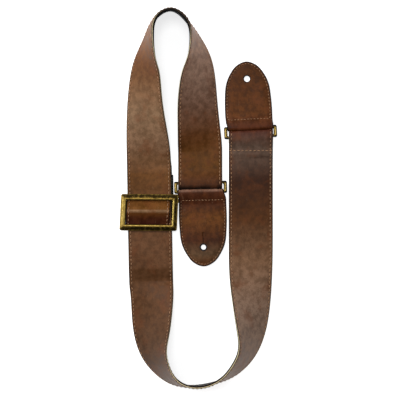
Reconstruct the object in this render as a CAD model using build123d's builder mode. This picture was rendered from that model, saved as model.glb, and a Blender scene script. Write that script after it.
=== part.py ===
from build123d import *
import os
from math import cos, radians, sin, tan

# Leather guitar strap with an adjusting slide, lying on a table with its two turns standing on edge.
# Millimetres, +Z up, X across the strap's three runs, Y along them.

# ---- strap materials ----
strap_width = 50.8
leather_thickness = 1.6
webbing_thickness = 1.1
layer_gap = 0.1
thread_width = 1.0
thread_rise = 0.1
thread_sunk = 0.8
stitch_inset = 3.0

# height of the leather-webbing interface where the strap lies on the table, and where it lies
# on the return webbing
single_rest = webbing_thickness
double_rest = 2 * webbing_thickness + layer_gap

# ---- rectangular rings that join the strap to its end tabs ----
ring_length = 61.0
ring_height = 14.2
ring_wire = 3.2
ring_window_length = 53.2
ring_bar_spacing = ring_height - ring_wire
ring_play = 0.2
wrap_radius = ring_wire / 2 + ring_play
interface_radius = wrap_radius + webbing_thickness
ring_z = interface_radius + leather_thickness
ring_a_tilt = 2.8
ring_b_tilt = 1.2

# ---- end tabs ----
tab_ply = 1.8
tab_neck_width = 51.4
tab_a_length = 83.0
tab_b_length = 90.5
tab_stitch_inset = 2.6
pin_hole_a = 8.4
pin_hole_b = 7.3
pin_hole_from_tip = 21.4
fold_back_reach = 12.0
cross_stitch_reach = 8.0

# ---- adjusting slide ----
slide_length = 66.0
slide_height = 42.2
slide_window_length = 52.6
slide_window_height = 27.4
slide_thickness = 3.4
slide_tilt = -1.8
slide_bottom = 7.7
slide_bevel = 1.3
plateau = 5.7
drop_bar_width = 5.0
drop_bar_thickness = 1.8
drop_bar_bottom = 1.4
lug_width = 4.8
lug_length = 8.0
lug_spacing = 58.7
drop_bar_length = 56.0
tail_end = 43.2
return_start = 44.7

# ---- where the pieces lie ----
left_limb_turn = 1.07
left_limb = Plane(
    origin=(-56.3, -16.8, 0),
    x_dir=(cos(radians(left_limb_turn)), sin(radians(left_limb_turn)), 0),
    z_dir=(0, 0, 1),
)
right_limb = Plane(origin=(60.1, -42.6, 0), x_dir=(1, 0, 0), z_dir=(0, 0, 1))
centre_limb = Plane(origin=(1.7, 51.9, 0), x_dir=(-1, 0, 0), z_dir=(0, 0, 1))
slide_plane = Plane(
    origin=(-57.1, -16.8, 0),
    x_dir=(cos(radians(slide_tilt)), sin(radians(slide_tilt)), 0),
    z_dir=(0, 0, 1),
)
ring_a_plane = Plane(
    origin=(59.7, 76.1, 0),
    x_dir=(cos(radians(ring_a_tilt)), sin(radians(ring_a_tilt)), 0),
    z_dir=(0, 0, 1),
)
ring_b_plane = Plane(
    origin=(2.2, 12.5, 0),
    x_dir=(-cos(radians(ring_b_tilt)), -sin(radians(ring_b_tilt)), 0),
    z_dir=(0, 0, 1),
)

left_limb_low = -79.3
left_limb_high = 54.7
bar_offset = ring_bar_spacing / 2
right_limb_bar = ring_a_plane.origin.Y - bar_offset - right_limb.origin.Y
centre_limb_bar = centre_limb.origin.Y - ring_b_plane.origin.Y - bar_offset

# ---- the two turns ----
# Each station is the edge that rests on the table and the lean of the strap there: 0 lies flat
# with its other edge inwards, 90 stands upright. Both turns run anticlockwise, inwards on the left.
bottom_turn = [
    (-78.8, -110.1, 8),
    (-75.8, -146.1, 27),
    (-66.0, -181.1, 46),
    (-48.8, -202.6, 63),
    (-26.8, -215.1, 77),
    (-4.8, -217.1, 87),
    (20.2, -212.6, 86),
    (42.2, -203.6, 76),
    (61.2, -186.1, 65),
    (74.7, -159.6, 49),
    (82.8, -114.1, 25),
]
top_turn = [
    (25.4, 74.4, 11),
    (21.6, 106.9, 25),
    (14.8, 157.4, 49),
    (1.4, 184.7, 75),
    (-11.8, 202.7, 89),
    (-32.3, 217.8, 85),
    (-50.9, 207.3, 86),
    (-61.0, 187.7, 78),
    (-74.7, 155.6, 52),
    (-81.2, 114.9, 37),
    (-83.0, 64.9, 14),
    (-82.9, 48.4, 4),
]


def limb_edge(limb, along, side):
    """Point of a straight run's outer edge, side -1 or +1 across the run."""
    edge = limb.from_local_coords(Vector(side * strap_width / 2, along, 0))
    return (edge.X, edge.Y, 0.0)


bottom_stations = [
    limb_edge(left_limb, left_limb_low, -1),
    *bottom_turn,
    limb_edge(right_limb, 0, 1),
]
top_stations = [
    limb_edge(centre_limb, 0, -1),
    *top_turn,
    limb_edge(left_limb, left_limb_high, -1),
]
bottom_ends = (-left_limb.y_dir, right_limb.y_dir)
top_ends = (-centre_limb.y_dir, -left_limb.y_dir)
turn_sections = 48


def ease(start, end, steps=6):
    """Points of a soft ramp between two (along, height) points."""
    points = []
    for i in range(steps + 1):
        t = i / steps
        rise = t * t * (3 - 2 * t)
        along = start[0] + (end[0] - start[0]) * t
        points.append((along, start[1] + (end[1] - start[1]) * rise))
    return points


def side_of(plane):
    """The upright plane along a run: local X along the run, local Y up, normal across it."""
    return Plane(origin=plane.origin, x_dir=plane.y_dir, z_dir=plane.x_dir)


def front_heights(bar, slot, far_height):
    """Interface height of a run from its far end up over the ring's bar."""
    approach = 16.0
    heights = [(0.0, far_height)]
    if far_height < double_rest:
        heights += ease((bar - 26.0, far_height), (bar - 19.5, double_rest))
    heights += ease((bar - approach, double_rest), (bar - slot - 0.5, ring_z + interface_radius), 9)
    heights.append((bar + slot, ring_z + interface_radius))
    return heights


left_heights = [
    *ease((left_limb_low, single_rest), (-63.0, plateau)),
    *ease((8.0, plateau), (26.0, 3.8)),
    *ease((return_start, 3.8), (left_limb_high, double_rest)),
]
slot_a = strap_width / 2 * tan(radians(ring_a_tilt))
slot_b = strap_width / 2 * tan(radians(ring_b_tilt))
right_heights = front_heights(right_limb_bar, slot_a, single_rest)
centre_heights = front_heights(centre_limb_bar, slot_b, double_rest)


def turn_curve(stations, ends):
    """A smooth curve through a turn's stations whose third coordinate is the lean in degrees."""
    with BuildLine(mode=Mode.PRIVATE) as curve:
        Spline(*stations, tangents=ends)
    return curve.edges()[0]


def turn_layer(curve, rest, across, layer):
    """One layer of a turn, lofted along its curve, across the strap and through its thickness."""
    sections = []
    for i in range(turn_sections + 1):
        station = curve.position_at(i / turn_sections)
        forward = curve.tangent_at(i / turn_sections)
        forward = Vector(forward.X, forward.Y, 0).normalized()
        inward = Vector(-forward.Y, forward.X, 0)
        lean = radians(station.Z)
        across_dir = inward * cos(lean) + Vector(0, 0, sin(lean))
        foot = (station.X, station.Y, rest * cos(lean))
        section = Plane(origin=foot, x_dir=across_dir, z_dir=forward)
        with BuildSketch(section) as outline:
            with Locations(((across[0] + across[1]) / 2, (layer[0] + layer[1]) / 2)):
                Rectangle(across[1] - across[0], layer[1] - layer[0])
        sections.append(outline.sketch)
    loft(sections, ruled=True)


def run_layer(limb, heights, across, layer):
    """One layer of a straight run without a wrap, from its side view."""
    low = [(along, height + layer[0]) for along, height in heights]
    high = [(along, height + layer[1]) for along, height in heights]
    with BuildSketch(side_of(limb).offset(across[0])) as side:
        with BuildLine():
            Polyline(*low, *reversed(high), close=True)
        make_face()
    extrude(side.sketch, amount=across[1] - across[0])


def wrapped_layer(limb, heights, back, across, layer):
    """One layer of a run that goes up over a ring's bar, round it and back underneath."""
    turn = heights[-1][0]
    inner = interface_radius + layer[0]
    outer = interface_radius + layer[1]
    front_low = [(along, height + layer[0]) for along, height in heights]
    front_high = [(along, height + layer[1]) for along, height in heights]
    back_high = [(along, height - layer[0]) for along, height in back]
    back_low = [(along, height - layer[1]) for along, height in back]
    with BuildSketch(side_of(limb).offset(across[0])) as side:
        with BuildLine():
            Polyline(*front_high)
            ThreePointArc(front_high[-1], (turn + outer, ring_z), back_low[0])
            Polyline(*back_low)
            Line(back_low[-1], back_high[-1])
            Polyline(*back_high)
            ThreePointArc(back_high[0], (turn + inner, ring_z), front_low[-1])
            Polyline(*front_low)
            Line(front_low[0], front_high[0])
        make_face()
    extrude(side.sketch, amount=across[1] - across[0])


# interface heights of the part that comes back underneath each ring bar, from the bar outwards
under_bar = ring_z - interface_radius


def leather_back(bar, slot):
    return [(bar + slot, under_bar), (bar - 7.0, under_bar)]


def webbing_back(bar, slot, reach):
    drop = ease((bar - 7.5, under_bar), (bar - 12.5, 0.0))
    return [(bar + slot, under_bar), *drop, (bar - reach, 0.0)]


bottom_curve = turn_curve(bottom_stations, bottom_ends)
top_curve = turn_curve(top_stations, top_ends)
full_width = (-strap_width / 2, strap_width / 2)
turn_width = (0.0, strap_width)
leather_layer = (0.0, leather_thickness)
webbing_layer = (-webbing_thickness, 0.0)
return_layer = (-2 * webbing_thickness - layer_gap, -webbing_thickness - layer_gap)
thread_layer = (leather_thickness - thread_sunk, leather_thickness + thread_rise)

# ---- leather face: one strip of leather from ring to ring ----
with BuildPart() as leather_face:
    turn_layer(bottom_curve, single_rest, turn_width, leather_layer)
    turn_layer(top_curve, double_rest, turn_width, leather_layer)
    run_layer(left_limb, left_heights, full_width, leather_layer)
    wrapped_layer(
        right_limb, right_heights, leather_back(right_limb_bar, slot_a), full_width, leather_layer
    )
    wrapped_layer(
        centre_limb, centre_heights, leather_back(centre_limb_bar, slot_b), full_width, leather_layer
    )
leather_face.part.label = "leather_face"

# ---- backing webbing, sewn under the leather ----
with BuildPart() as backing_webbing:
    turn_layer(bottom_curve, single_rest, turn_width, webbing_layer)
    turn_layer(top_curve, double_rest, turn_width, webbing_layer)
    run_layer(left_limb, left_heights, full_width, webbing_layer)
    wrapped_layer(
        right_limb,
        right_heights,
        webbing_back(right_limb_bar, slot_a, 19.0),
        full_width,
        webbing_layer,
    )
    wrapped_layer(
        centre_limb,
        centre_heights,
        webbing_back(centre_limb_bar, slot_b, 14.0),
        full_width,
        webbing_layer,
    )
backing_webbing.part.label = "backing_webbing"

# ---- return webbing: bare webbing from under ring B back to the adjusting slide ----
with BuildPart() as return_webbing:
    turn_layer(top_curve, double_rest, turn_width, return_layer)
    run_layer(centre_limb, [(0, double_rest), (centre_limb_bar - 14.0, double_rest)], full_width, return_layer)
    run_layer(
        left_limb,
        [(return_start, double_rest), (left_limb_high, double_rest)],
        full_width,
        return_layer,
    )
return_webbing.part.label = "return_webbing"


# ---- rows of stitching along both edges ----
def edge_row(from_table_edge):
    """One row of thread along the whole strap, its distance from the edge that rests on the table."""
    row = (from_table_edge - thread_width / 2, from_table_edge + thread_width / 2)
    left_row = (row[0] - strap_width / 2, row[1] - strap_width / 2)
    right_row = (strap_width / 2 - row[1], strap_width / 2 - row[0])
    turn_layer(bottom_curve, single_rest, row, thread_layer)
    turn_layer(top_curve, double_rest, row, thread_layer)
    run_layer(left_limb, left_heights, left_row, thread_layer)
    run_layer(right_limb, right_heights[:-1], right_row, thread_layer)
    run_layer(centre_limb, centre_heights[:-1], left_row, thread_layer)


with BuildPart() as edge_stitching_outer:
    edge_row(stitch_inset)
edge_stitching_outer.part.label = "edge_stitching_outer"

with BuildPart() as edge_stitching_inner:
    edge_row(strap_width - stitch_inset)
edge_stitching_inner.part.label = "edge_stitching_inner"

# ---- row of stitching across the strap that holds its end folded round ring A ----
with BuildPart() as ring_a_cross_stitching:
    run_layer(
        right_limb,
        [(right_limb_bar - 17.1, double_rest), (right_limb_bar - 16.3, double_rest)],
        full_width,
        thread_layer,
    )
ring_a_cross_stitching.part.label = "ring_a_cross_stitching"


# ---- rings ----
def ring_at(plane):
    """A rectangular ring of nearly round wire, flat in its plane at the height of the bars."""
    with BuildSketch(plane.offset(ring_z - ring_wire / 2)) as outline:
        RectangleRounded(ring_length, ring_height, 2.0)
        RectangleRounded(ring_window_length, ring_height - 2 * ring_wire, 1.5, mode=Mode.SUBTRACT)
    extrude(outline.sketch, amount=ring_wire)


with BuildPart() as ring_a:
    ring_at(ring_a_plane)
    fillet(ring_a.faces().filter_by(Axis.Z).edges(), 1.35)
ring_a.part.label = "ring_a"

with BuildPart() as ring_b:
    ring_at(ring_b_plane)
    fillet(ring_b.faces().filter_by(Axis.Z).edges(), 1.35)
ring_b.part.label = "ring_b"

# ---- end tabs: a front cover folded round the ring's bar, a back liner, and their stitching ----
# Local X across the tab, local Y from the ring's centre towards the tip.
cover_low = tab_ply + 0.05
cover_rise = ease((bar_offset + 10.0, cover_low), (bar_offset + 0.5, ring_z + wrap_radius), 9)
fold_back_top = ease((bar_offset, ring_z - wrap_radius), (bar_offset + 9.0, tab_ply))


def tab_outline(plane, length, shift, inset=0.0, start=bar_offset + 2.8):
    """Face of the tab's outline on a plane: a shallow taper with a round tip."""
    right = [
        (26.2 - inset, start),
        (26.8 - inset, length - 58.0),
        (26.3 - inset, length - 43.0),
        (24.7 - inset * 0.97, length - 28.0),
        (20.6 - inset * 0.8, length - 16.0),
        (12.4 - inset * 0.5, length - 5.0 - inset * 0.85),
        (0.0, length - inset),
    ]
    left = [(-x, y) for x, y in reversed(right[:-1])]
    with BuildSketch(plane) as outline:
        with BuildLine():
            Spline(*[(x + shift, y) for x, y in right + left], tangents=((0, 1), (0, -1)))
            Line((shift - right[0][0], start), (shift + right[0][0], start))
        make_face()
    return outline.sketch


def tab_cover(plane, length, shift, hole):
    reach = length + 2.0
    back_end = bar_offset + fold_back_reach
    top = [(reach, cover_low + tab_ply)] + [(y, z + tab_ply) for y, z in cover_rise]
    top.append((bar_offset, top[-1][1]))
    low = [(reach, cover_low)] + cover_rise
    low.append((bar_offset, low[-1][1]))
    back_high = fold_back_top + [(back_end, tab_ply)]
    back_low = [(y, z - tab_ply) for y, z in back_high]
    with BuildSketch(side_of(plane).offset(-30.0)) as side:
        with BuildLine():
            Polyline(*top)
            ThreePointArc(top[-1], (bar_offset - wrap_radius - tab_ply, ring_z), back_low[0])
            Polyline(*back_low)
            Line(back_low[-1], back_high[-1])
            Polyline(*back_high)
            ThreePointArc(back_high[0], (bar_offset - wrap_radius, ring_z), low[-1])
            Polyline(*low)
            Line(low[0], top[0])
        make_face()
    extrude(side.sketch, amount=60.0)
    below = plane.offset(-1.0)
    with BuildSketch(below) as plan:
        add(below.to_local_coords(tab_outline(below, length, shift)))
        with Locations((0, bar_offset)):
            Rectangle(tab_neck_width, 12.0)
        with Locations((shift, length - pin_hole_from_tip)):
            Circle(hole / 2, mode=Mode.SUBTRACT)
    extrude(plan.sketch, amount=12.0, mode=Mode.INTERSECT)


def tab_liner(plane, length, shift, hole):
    with BuildSketch(plane) as plan:
        add(plane.to_local_coords(tab_outline(plane, length, shift, start=bar_offset + fold_back_reach)))
        with Locations((shift, length - pin_hole_from_tip)):
            Circle(hole / 2, mode=Mode.SUBTRACT)
    extrude(plan.sketch, amount=tab_ply)


def tab_thread(plane, length, shift):
    """A closed D of thread: across near the ring, then round the tab inside its edge."""
    surface = [(length + 2.0, cover_low + tab_ply)] + [(y, z + tab_ply) for y, z in cover_rise]
    surface = [point for point in surface if point[0] > bar_offset + 6.0]
    low = [(y, z - thread_sunk) for y, z in surface]
    high = [(y, z + thread_rise) for y, z in surface]
    with BuildSketch(side_of(plane).offset(-30.0)) as side:
        with BuildLine():
            Polyline(*low, *reversed(high), close=True)
        make_face()
    extrude(side.sketch, amount=60.0)
    inner = tab_stitch_inset + thread_width
    start = bar_offset + cross_stitch_reach
    below = plane.offset(-1.0)
    outside = tab_outline(below, length, shift, inset=tab_stitch_inset, start=start)
    inside = tab_outline(below, length, shift, inset=inner, start=start + thread_width)
    extrude(outside, amount=12.0, mode=Mode.INTERSECT)
    extrude(inside, amount=12.0, mode=Mode.SUBTRACT)


with BuildPart() as tab_a_cover:
    tab_cover(ring_a_plane, tab_a_length, -0.8, pin_hole_a)
tab_a_cover.part.label = "tab_a_cover"

with BuildPart() as tab_a_liner:
    tab_liner(ring_a_plane, tab_a_length, -0.8, pin_hole_a)
tab_a_liner.part.label = "tab_a_liner"

with BuildPart() as tab_a_stitching:
    tab_thread(ring_a_plane, tab_a_length, -0.8)
tab_a_stitching.part.label = "tab_a_stitching"

with BuildPart() as tab_b_cover:
    tab_cover(ring_b_plane, tab_b_length, -1.5, pin_hole_b)
tab_b_cover.part.label = "tab_b_cover"

with BuildPart() as tab_b_liner:
    tab_liner(ring_b_plane, tab_b_length, -1.5, pin_hole_b)
tab_b_liner.part.label = "tab_b_liner"

with BuildPart() as tab_b_stitching:
    tab_thread(ring_b_plane, tab_b_length, -1.5)
tab_b_stitching.part.label = "tab_b_stitching"

# ---- adjusting slide: a bevelled frame over the strap, with lugs down to a bar under it ----
with BuildPart() as slider_frame:
    with BuildSketch(slide_plane.offset(slide_bottom)):
        RectangleRounded(slide_length, slide_height, 2.0)
        Rectangle(slide_window_length, slide_window_height, mode=Mode.SUBTRACT)
    extrude(amount=slide_thickness)
    chamfer(slider_frame.faces().sort_by(Axis.Z)[-1].edges(), slide_bevel)
    with BuildSketch(slide_plane.offset(drop_bar_bottom - 0.4)):
        with GridLocations(lug_spacing, 0, 2, 1):
            Rectangle(lug_width, lug_length)
    extrude(amount=slide_bottom - drop_bar_bottom + 0.9)
slider_frame.part.label = "slider_frame"

with BuildPart() as slider_bar:
    with BuildSketch(slide_plane.offset(drop_bar_bottom)):
        Rectangle(drop_bar_length, drop_bar_width)
    extrude(amount=drop_bar_thickness)
    fillet(slider_bar.edges().group_by(SortBy.LENGTH)[-1], 0.5)
slider_bar.part.label = "slider_bar"

# ---- end of the return webbing: looped round the slide's bar and sewn back on itself ----
loop_clear = 0.1
loop_half = drop_bar_width / 2 + 0.1
loop_low = drop_bar_bottom - loop_clear - webbing_thickness
loop_high = drop_bar_bottom + drop_bar_thickness + loop_clear
lower_tail = [(tail_end, 0.0), (20.0, 0.0), *ease((14.0, 0.0), (loop_half, loop_low)), (-loop_half, loop_low)]
upper_tail = [
    (tail_end, webbing_thickness + 0.1),
    (20.0, webbing_thickness + 0.1),
    *ease((14.0, webbing_thickness + 0.1), (loop_half, loop_high)),
    (-loop_half, loop_high),
]
with BuildPart() as slider_end_loop:
    outside_low = lower_tail
    inside_low = [(along, height + webbing_thickness) for along, height in lower_tail]
    inside_high = upper_tail
    outside_high = [(along, height + webbing_thickness) for along, height in upper_tail]
    middle = (loop_low + loop_high + webbing_thickness) / 2
    with BuildSketch(side_of(left_limb).offset(-strap_width / 2)):
        with BuildLine():
            Polyline(*outside_low)
            ThreePointArc(
                outside_low[-1],
                (outside_low[-1][0] - (outside_high[-1][1] - outside_low[-1][1]) / 2, middle),
                outside_high[-1],
            )
            Polyline(*outside_high)
            Line(outside_high[0], inside_high[0])
            Polyline(*inside_high)
            ThreePointArc(
                inside_high[-1],
                (inside_high[-1][0] - (inside_high[-1][1] - inside_low[-1][1]) / 2, middle),
                inside_low[-1],
            )
            Polyline(*inside_low)
            Line(inside_low[0], outside_low[0])
        make_face()
    extrude(amount=strap_width)
slider_end_loop.part.label = "slider_end_loop"

# rows of thread across the folded end
with BuildPart() as slider_loop_stitching:
    for along in (22.0, 38.0):
        with BuildSketch(left_limb):
            with Locations((0, along)):
                Rectangle(strap_width - 6.0, thread_width)
        extrude(amount=2 * webbing_thickness + 0.1)
slider_loop_stitching.part.label = "slider_loop_stitching"

pieces = [
    leather_face,
    backing_webbing,
    return_webbing,
    edge_stitching_outer,
    edge_stitching_inner,
    ring_a_cross_stitching,
    ring_a,
    tab_a_cover,
    tab_a_liner,
    tab_a_stitching,
    ring_b,
    tab_b_cover,
    tab_b_liner,
    tab_b_stitching,
    slider_frame,
    slider_bar,
    slider_end_loop,
    slider_loop_stitching,
]

os.makedirs("parts", exist_ok=True)
for piece in pieces:
    export_step(piece.part, "parts/" + piece.part.label + ".step")
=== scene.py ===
import math

import bmesh
import bpy
import numpy as np
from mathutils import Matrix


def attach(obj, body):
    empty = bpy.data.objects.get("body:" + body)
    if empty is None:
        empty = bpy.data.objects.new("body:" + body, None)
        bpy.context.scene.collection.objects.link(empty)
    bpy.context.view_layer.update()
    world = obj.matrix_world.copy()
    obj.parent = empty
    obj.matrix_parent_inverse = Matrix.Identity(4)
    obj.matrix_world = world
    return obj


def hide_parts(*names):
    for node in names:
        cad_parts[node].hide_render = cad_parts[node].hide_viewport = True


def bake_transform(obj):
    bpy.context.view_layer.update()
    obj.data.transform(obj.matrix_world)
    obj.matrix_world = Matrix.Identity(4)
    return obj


# Leather guitar strap with an adjusting slide and two end tabs, lying on a table.
# Metres, +Z up, in the frame of the CAD model.

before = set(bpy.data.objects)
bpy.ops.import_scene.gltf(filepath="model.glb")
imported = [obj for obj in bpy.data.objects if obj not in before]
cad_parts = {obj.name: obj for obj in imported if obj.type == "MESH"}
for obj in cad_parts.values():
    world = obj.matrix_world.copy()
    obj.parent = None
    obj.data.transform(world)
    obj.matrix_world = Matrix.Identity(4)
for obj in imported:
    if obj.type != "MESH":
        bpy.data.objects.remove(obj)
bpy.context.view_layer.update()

# ---- strap ----
strap_width = 0.0508
leather_thickness = 0.0016
webbing_thickness = 0.0011
layer_gap = 0.0001
single_rest = webbing_thickness
double_rest = 2 * webbing_thickness + layer_gap
plateau = 0.0057
stitch_inset = 0.0030
strap_stitch_pitch = 0.0045
tab_stitch_pitch = 0.0037
strap_thread = 0.00044
strap_stitch = 0.0034
strap_stitch_rise = 0.00026
backing_margin = 0.0009
return_margin = 0.0018
webbing_set_back = 0.0024
leather_tail_length = 0.0070

# ---- rings ----
ring_length = 0.0610
ring_height = 0.0142
ring_wire = 0.0032
ring_window_length = 0.0532
ring_z = 0.0045
wrap_radius = 0.0018
interface_radius = wrap_radius + webbing_thickness
bar_offset = (ring_height - ring_wire) / 2
ring_slack = 0.0032
ring_a_tilt = math.radians(2.8)
ring_b_tilt = math.radians(1.2)

# ---- end tabs ----
tab_ply = 0.0018
tab_neck_half = 0.0262
tab_stitch_inset = 0.0026
fold_back = 0.0120
tab_tone_length = 0.105
hole_lip = 0.0008
slit_half = 0.00008

# ---- adjusting slide ----
slide_length = 0.0660
slide_height = 0.0422
slide_window_length = 0.0526
slide_window_height = 0.0274
lug_spacing = 0.0587
drop_bar_length = 0.0560
slide_bottom = 0.0077
drop_bar_bottom = 0.0014
drop_bar_thickness = 0.0018
drop_bar_width = 0.0050
tail_end = 0.0432


class Lay:
    """A flat place on the table: an origin, its X and Y directions, and points given in it."""

    def __init__(self, origin, turn, flipped=False, skew=0.0):
        sign = -1.0 if flipped else 1.0
        self.origin = np.array([origin[0], origin[1], 0.0])
        self.x_dir = sign * np.array([math.cos(turn), math.sin(turn), 0.0])
        self.y_dir = sign * np.array([-math.sin(turn - skew), math.cos(turn - skew), 0.0])

    def at(self, x, y, z=0.0):
        return self.origin + self.x_dir * x + self.y_dir * y + np.array([0.0, 0.0, z])


up = np.array([0.0, 0.0, 1.0])
left_limb = Lay((-0.0563, -0.0168), math.radians(1.07))
right_limb = Lay((0.0601, -0.0426), 0.0)
centre_limb = Lay((0.0017, 0.0519), 0.0, flipped=True)
slide_plane = Lay((-0.0571, -0.0168), math.radians(-1.8))
frame_plane = Lay((-0.0571, -0.0164), math.radians(-0.5), skew=math.radians(2.3))
ring_a_plane = Lay((0.0597, 0.0761), ring_a_tilt)
ring_b_plane = Lay((0.0022, 0.0125), ring_b_tilt, flipped=True)
left_limb_low = -0.0793
left_limb_high = 0.0547
right_limb_bar = ring_a_plane.origin[1] - bar_offset - right_limb.origin[1]
centre_limb_bar = centre_limb.origin[1] - ring_b_plane.origin[1] - bar_offset

# The two turns, in travel order: the edge that rests on the table, and the strap's lean in degrees.
bottom_turn = [
    (-0.0788, -0.1101, 8),
    (-0.0758, -0.1461, 27),
    (-0.0660, -0.1811, 46),
    (-0.0488, -0.2026, 63),
    (-0.0268, -0.2151, 77),
    (-0.0048, -0.2171, 84),
    (0.0202, -0.2126, 83),
    (0.0422, -0.2036, 74),
    (0.0612, -0.1861, 65),
    (0.0747, -0.1596, 49),
    (0.0828, -0.1141, 25),
]
top_turn = [
    (0.0254, 0.0744, 11),
    (0.0216, 0.1069, 25),
    (0.0148, 0.1574, 49),
    (0.0014, 0.1847, 75),
    (-0.0118, 0.2027, 87),
    (-0.0323, 0.2178, 83),
    (-0.0509, 0.2073, 84),
    (-0.0610, 0.1877, 78),
    (-0.0747, 0.1556, 52),
    (-0.0812, 0.1149, 37),
    (-0.0830, 0.0649, 14),
    (-0.0829, 0.0484, 4),
]


# ---------------------------------------------------------------- mesh helpers
def smooth_step(value, low, high):
    """0 below low, 1 above high, soft between."""
    t = np.clip((np.asarray(value, float) - low) / (high - low), 0.0, 1.0)
    return t * t * (3 - 2 * t)


def add_piece(name, points, faces, materials, face_materials=None, uvs=None, edge=None):
    """A mesh object. uvs is one (u, v) per point in metres, and edge one distance to the cut edge."""
    mesh = bpy.data.meshes.new(name)
    mesh.from_pydata([tuple(point) for point in points], [], faces)
    for material in materials:
        mesh.materials.append(material)
    if face_materials is not None:
        mesh.polygons.foreach_set("material_index", np.asarray(face_materials, np.int32))
    if uvs is not None:
        corners = np.zeros(len(mesh.loops), np.int32)
        mesh.loops.foreach_get("vertex_index", corners)
        layer = mesh.uv_layers.new(name="along_across")
        layer.data.foreach_set("uv", np.asarray(uvs, np.float32)[corners].ravel())
    if edge is not None:
        attribute = mesh.attributes.new("edge_distance", "FLOAT", "POINT")
        attribute.data.foreach_set("value", np.asarray(edge, np.float32))
    mesh.polygons.foreach_set("use_smooth", np.full(len(mesh.polygons), True))
    tidy = bmesh.new()
    tidy.from_mesh(mesh)
    bmesh.ops.recalc_face_normals(tidy, faces=tidy.faces)
    tidy.to_mesh(mesh)
    tidy.free()
    piece = bpy.data.objects.new(name, mesh)
    bpy.context.scene.collection.objects.link(piece)
    return piece


def unit(vectors):
    """The same directions with a length of one."""
    return vectors / np.linalg.norm(vectors, axis=-1, keepdims=True)


def lengths_along(points):
    """Distance from the first point to each point of a line."""
    steps = np.linalg.norm(np.diff(points, axis=0), axis=1)
    return np.concatenate([[0.0], np.cumsum(steps)])


def sample(points, lengths, at):
    """Points of a plane line at distances along it."""
    return np.stack([np.interp(at, lengths, points[:, k]) for k in range(2)], axis=-1)


def grid_faces(rows, columns, closed_rows=False, closed_columns=False, start=0):
    """Quads over a grid of points stored row by row."""
    faces = []
    for i in range(rows if closed_rows else rows - 1):
        for j in range(columns if closed_columns else columns - 1):
            a = i * columns + j
            b = i * columns + (j + 1) % columns
            c = ((i + 1) % rows) * columns + (j + 1) % columns
            d = ((i + 1) % rows) * columns + j
            faces.append((start + a, start + b, start + c, start + d))
    return faces


def sheet_faces(rows, columns, back_material):
    """Faces, and their materials, of a sheet: face points, then back points, and a wall round its rim."""
    block = rows * columns
    faces = grid_faces(rows, columns)
    face_materials = [0] * len(faces) + [back_material] * len(faces)
    faces += [tuple(reversed(face)) for face in grid_faces(rows, columns, start=block)]
    rim = [i * columns for i in range(rows)]
    rim += [(rows - 1) * columns + j for j in range(1, columns)]
    rim += [i * columns + columns - 1 for i in range(rows - 2, -1, -1)]
    rim += list(range(columns - 2, 0, -1))
    walls = [(a, b, b + block, a + block) for a, b in zip(rim, rim[1:] + rim[:1])]
    return faces + walls, face_materials + [1] * len(walls)


def place(piece, body, slot, *nodes):
    """The piece moves with a body and stands for CAD nodes, which are hidden. slot is not used."""
    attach(piece, body)
    if nodes:
        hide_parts(*nodes)


def ease(start, end, steps=14):
    """Points of a soft ramp between two (along, height) points."""
    t = np.linspace(0.0, 1.0, steps + 1)
    rise = t * t * (3 - 2 * t)
    return [
        (start[0] + (end[0] - start[0]) * a, start[1] + (end[1] - start[1]) * b)
        for a, b in zip(t, rise)
    ]


def arc(centre, radius, first, last, steps=18):
    """Points of an arc in the side view, angles in degrees, 90 is up."""
    angles = np.radians(np.linspace(first, last, steps + 1))
    return [(centre[0] + radius * math.cos(a), centre[1] + radius * math.sin(a)) for a in angles]


def dense(points, step=0.0025):
    """The same side view with its long straight stretches divided."""
    result = [points[0]]
    for start, end in zip(points, points[1:]):
        length = math.dist(start, end)
        if length < 1e-6:
            continue
        count = max(1, int(length / step))
        for i in range(1, count + 1):
            t = i / count
            result.append((start[0] + (end[0] - start[0]) * t, start[1] + (end[1] - start[1]) * t))
    return result


# ---------------------------------------------------------------- the strap's course
class Track:
    """Sections along the strap: a foot point, the direction across it and its outward normal."""

    def __init__(self, foot, across, normal):
        self.foot = np.array(foot)
        self.across = np.array(across)
        self.normal = np.array(normal)
        self.along = lengths_along(self.foot + self.across * strap_width / 2)

    def joined(self, other):
        return Track(
            np.vstack([self.foot, other.foot[1:]]),
            np.vstack([self.across, other.across[1:]]),
            np.vstack([self.normal, other.normal[1:]]),
        )

    def points(self, along, across, out):
        """Points at distances along, across and out of the strap's leather-webbing interface."""
        columns = []
        for values in (self.foot, self.across, self.normal):
            parts = [np.interp(along, self.along, values[:, k]) for k in range(3)]
            columns.append(np.stack(parts, axis=1))
        foot, side, normal = columns
        return foot + side * np.reshape(across, (-1, 1)) + normal * np.reshape(out, (-1, 1))


def limb_track(lay, side_view, foot_side, tilt=0.0, bar=None):
    """Sections of a straight run from its side view, in travel order.
    Near a ring the sections turn with the ring's bar."""
    side_view = np.array(dense(side_view))
    steps = unit(np.gradient(side_view, axis=0))
    foot, across, normal = [], [], []
    inward = -foot_side * lay.x_dir
    for (along, height), (run, rise) in zip(side_view, steps):
        slant = 0.0
        if bar is not None:
            slant = math.tan(tilt) * float(smooth_step(along, bar - 0.016, bar - 0.004))
            if height < 0.0017:
                slant = math.tan(tilt)
        foot.append(lay.at(foot_side * strap_width / 2, along + foot_side * strap_width / 2 * slant, height))
        across.append(inward - foot_side * slant * lay.y_dir)
        forward = lay.y_dir * run + np.array([0.0, 0.0, rise])
        normal.append(np.cross(forward, inward))
    return Track(foot, across, normal)


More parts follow.
